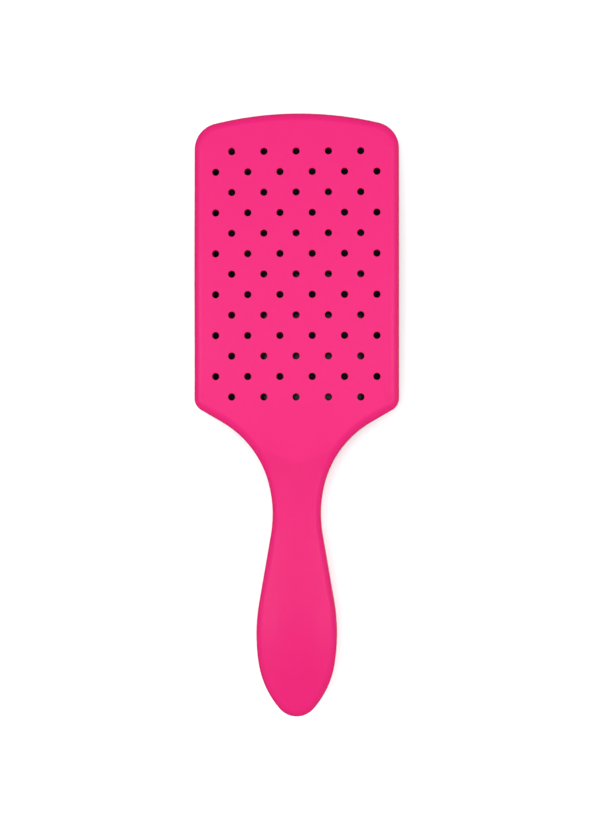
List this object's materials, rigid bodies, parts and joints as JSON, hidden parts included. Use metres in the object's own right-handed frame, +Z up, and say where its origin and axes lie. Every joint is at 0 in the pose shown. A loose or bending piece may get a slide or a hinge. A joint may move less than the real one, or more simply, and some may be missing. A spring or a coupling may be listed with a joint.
{
  "type": "paddle hairbrush",
  "caption": "Paddle hairbrush with a wide vented back, a waisted handle and a rubber cushion carrying columns of ball-tipped bristles.",
  "frame": {"origin": "on the table under the middle of the brush, which lies on its bristle tips", "axes": "+X across the head, +Y along the brush from the handle to the head, +Z up through the vented back"},
  "size_m": [0.0866, 0.255, 0.0366],
  "materials": {
    "pink_plastic": "satin",
    "black_rubber": "satin",
    "black_nylon": "satin",
    "black_bead": "gloss"
  },
  "bodies": {
    "shells": {"back_shell": "pink_plastic", "front_shell": "pink_plastic"},
    "cushion_bed": {"cushion": "black_rubber"},
    "column_01": {"bristle_column_01": "black_nylon", "tip_column_01": "black_bead"},
    "column_02": {"bristle_column_02": "black_nylon", "tip_column_02": "black_bead"},
    "column_03": {"bristle_column_03": "black_nylon", "tip_column_03": "black_bead"},
    "column_04": {"bristle_column_04": "black_nylon", "tip_column_04": "black_bead"},
    "column_05": {"bristle_column_05": "black_nylon", "tip_column_05": "black_bead"},
    "column_06": {"bristle_column_06": "black_nylon", "tip_column_06": "black_bead"},
    "column_07": {"bristle_column_07": "black_nylon", "tip_column_07": "black_bead"},
    "column_08": {"bristle_column_08": "black_nylon", "tip_column_08": "black_bead"},
    "column_09": {"bristle_column_09": "black_nylon", "tip_column_09": "black_bead"},
    "column_10": {"bristle_column_10": "black_nylon", "tip_column_10": "black_bead"},
    "column_11": {"bristle_column_11": "black_nylon", "tip_column_11": "black_bead"}
  },
  "joints": [
    {"name": "cushion_press", "type": "slide", "parent": "shells", "child": "cushion_bed", "axis": [0, 0, 1], "range_m": [0, 0.0025], "stiffness_N_per_m": 4000, "deforming": ["cushion"]},
    {"name": "column_01_rock", "type": "hinge", "parent": "cushion_bed", "child": "column_01", "pos_m": [-0.0325, 0.05928, 0.019], "axis": [0, 1, 0], "range_deg": [-12, 12], "stiffness_Nm_per_rad": 0.06},
    {"name": "column_02_rock", "type": "hinge", "parent": "cushion_bed", "child": "column_02", "pos_m": [-0.026, 0.05928, 0.019], "axis": [0, 1, 0], "range_deg": [-12, 12], "stiffness_Nm_per_rad": 0.06},
    {"name": "column_03_rock", "type": "hinge", "parent": "cushion_bed", "child": "column_03", "pos_m": [-0.0195, 0.05928, 0.019], "axis": [0, 1, 0], "range_deg": [-12, 12], "stiffness_Nm_per_rad": 0.06},
    {"name": "column_04_rock", "type": "hinge", "parent": "cushion_bed", "child": "column_04", "pos_m": [-0.013, 0.05928, 0.019], "axis": [0, 1, 0], "range_deg": [-12, 12], "stiffness_Nm_per_rad": 0.06},
    {"name": "column_05_rock", "type": "hinge", "parent": "cushion_bed", "child": "column_05", "pos_m": [-0.0065, 0.05928, 0.019], "axis": [0, 1, 0], "range_deg": [-12, 12], "stiffness_Nm_per_rad": 0.06},
    {"name": "column_06_rock", "type": "hinge", "parent": "cushion_bed", "child": "column_06", "pos_m": [0, 0.05928, 0.019], "axis": [0, 1, 0], "range_deg": [-12, 12], "stiffness_Nm_per_rad": 0.06},
    {"name": "column_07_rock", "type": "hinge", "parent": "cushion_bed", "child": "column_07", "pos_m": [0.0065, 0.05928, 0.019], "axis": [0, 1, 0], "range_deg": [-12, 12], "stiffness_Nm_per_rad": 0.06},
    {"name": "column_08_rock", "type": "hinge", "parent": "cushion_bed", "child": "column_08", "pos_m": [0.013, 0.05928, 0.019], "axis": [0, 1, 0], "range_deg": [-12, 12], "stiffness_Nm_per_rad": 0.06},
    {"name": "column_09_rock", "type": "hinge", "parent": "cushion_bed", "child": "column_09", "pos_m": [0.0195, 0.05928, 0.019], "axis": [0, 1, 0], "range_deg": [-12, 12], "stiffness_Nm_per_rad": 0.06},
    {"name": "column_10_rock", "type": "hinge", "parent": "cushion_bed", "child": "column_10", "pos_m": [0.026, 0.05928, 0.019], "axis": [0, 1, 0], "range_deg": [-12, 12], "stiffness_Nm_per_rad": 0.06},
    {"name": "column_11_rock", "type": "hinge", "parent": "cushion_bed", "child": "column_11", "pos_m": [0.0325, 0.05928, 0.019], "axis": [0, 1, 0], "range_deg": [-12, 12], "stiffness_Nm_per_rad": 0.06}
  ]
}
